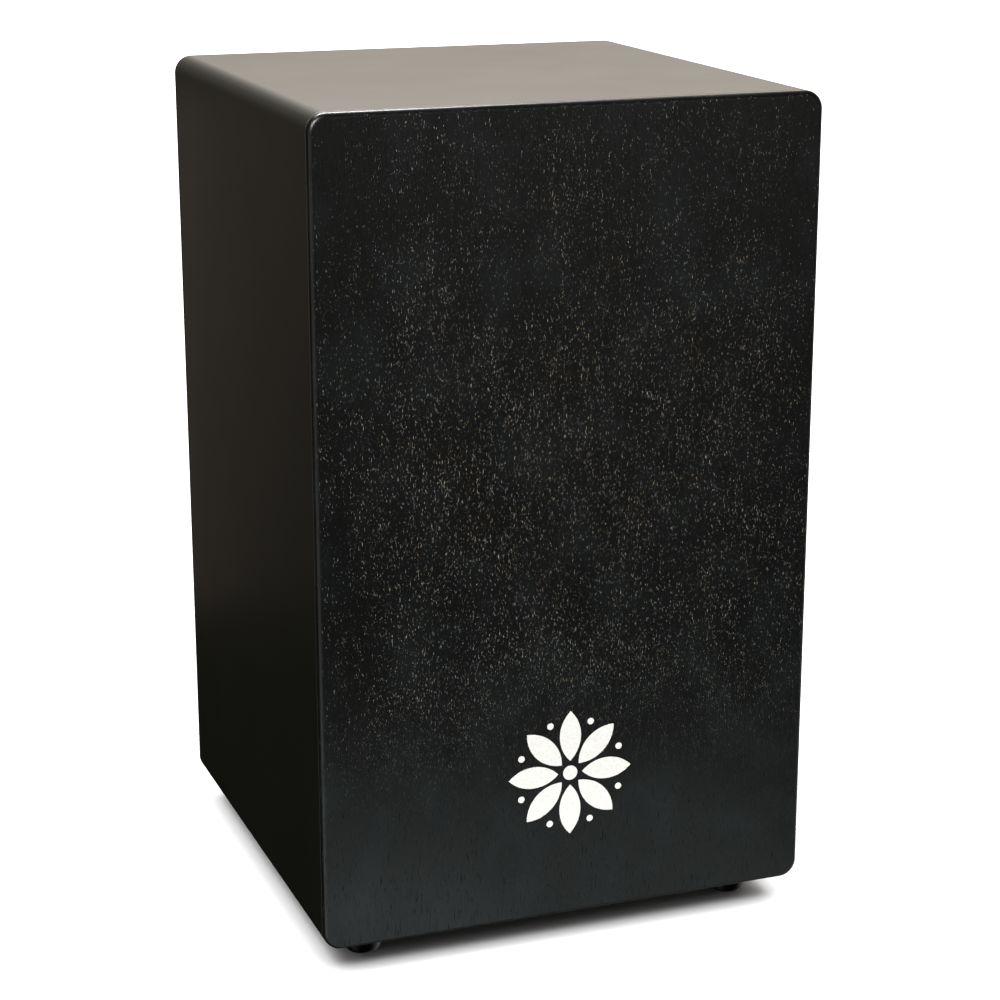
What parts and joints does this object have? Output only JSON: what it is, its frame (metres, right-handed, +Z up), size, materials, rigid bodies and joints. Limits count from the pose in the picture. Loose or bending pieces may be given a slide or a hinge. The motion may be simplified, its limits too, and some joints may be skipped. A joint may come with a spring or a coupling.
{
  "type": "snare cajon",
  "caption": "Box drum to sit on: a thin playing plate over the front, a sound hole in the back, snare wires inside and rubber feet below.",
  "frame": {"origin": "on the floor below the middle of the box", "axes": "+X to the right as seen from the front, the playing plate faces -Y, +Z up"},
  "size_m": [0.283, 0.279, 0.4653],
  "materials": {
    "black_lacquered_board": "satin",
    "black_stained_veneer": "gloss",
    "bare_pine": "matte",
    "bare_beech": "matte",
    "black_rubber": "satin",
    "zinc_plated_steel": "satin",
    "blackened_steel": "satin",
    "snare_steel": "bright"
  },
  "bodies": {
    "box": {"top_board": "black_lacquered_board", "right_board": "black_lacquered_board", "bottom_board": "black_lacquered_board", "left_board": "black_lacquered_board", "back_plate": "black_lacquered_board", "front_plate": "black_stained_veneer", "corner_block_bottom_left": "bare_pine", "corner_block_bottom_right": "bare_pine", "corner_block_top_left": "bare_pine", "corner_block_top_right": "bare_pine", "back_screw_01": "blackened_steel", "back_screw_02": "blackened_steel", "back_screw_03": "blackened_steel", "back_screw_04": "blackened_steel", "back_screw_05": "blackened_steel", "back_screw_06": "blackened_steel", "back_screw_07": "blackened_steel", "back_screw_08": "blackened_steel", "back_screw_09": "blackened_steel", "back_screw_10": "blackened_steel", "back_screw_11": "blackened_steel", "back_screw_12": "blackened_steel", "foot_front_left": "black_rubber", "foot_washer_front_left": "zinc_plated_steel", "foot_screw_front_left": "zinc_plated_steel", "foot_front_right": "black_rubber", "foot_washer_front_right": "zinc_plated_steel", "foot_screw_front_right": "zinc_plated_steel", "foot_back_left": "black_rubber", "foot_washer_back_left": "zinc_plated_steel", "foot_screw_back_left": "zinc_plated_steel", "foot_back_right": "black_rubber", "foot_washer_back_right": "zinc_plated_steel", "foot_screw_back_right": "zinc_plated_steel", "snare_rail": "bare_beech", "rail_bracket_left": "zinc_plated_steel", "bracket_screw_left_1": "zinc_plated_steel", "bracket_screw_left_2": "zinc_plated_steel", "rail_screw_left": "zinc_plated_steel", "snare_plate_left": "snare_steel", "snare_clamp_left": "zinc_plated_steel", "clamp_screw_left_1": "zinc_plated_steel", "clamp_screw_left_2": "zinc_plated_steel", "rail_bracket_right": "zinc_plated_steel", "bracket_screw_right_1": "zinc_plated_steel", "bracket_screw_right_2": "zinc_plated_steel", "rail_screw_right": "zinc_plated_steel", "snare_plate_right": "snare_steel", "snare_clamp_right": "zinc_plated_steel", "clamp_screw_right_1": "zinc_plated_steel", "clamp_screw_right_2": "zinc_plated_steel"},
    "left_snare": {"snare_wires_left": "snare_steel"},
    "right_snare": {"snare_wires_right": "snare_steel"}
  },
  "joints": [
    {"name": "left_snare_flex", "type": "hinge", "parent": "box", "child": "left_snare", "pos_m": [-0.06, -0.1282, 0.3213], "axis": [-1, 0, 0], "range_deg": [0, 3], "stiffness_Nm_per_rad": 0.43, "springref_deg": -2.01},
    {"name": "right_snare_flex", "type": "hinge", "parent": "box", "child": "right_snare", "pos_m": [0.06, -0.1282, 0.3213], "axis": [-1, 0, 0], "range_deg": [0, 3], "stiffness_Nm_per_rad": 0.43, "springref_deg": -2.01}
  ]
}
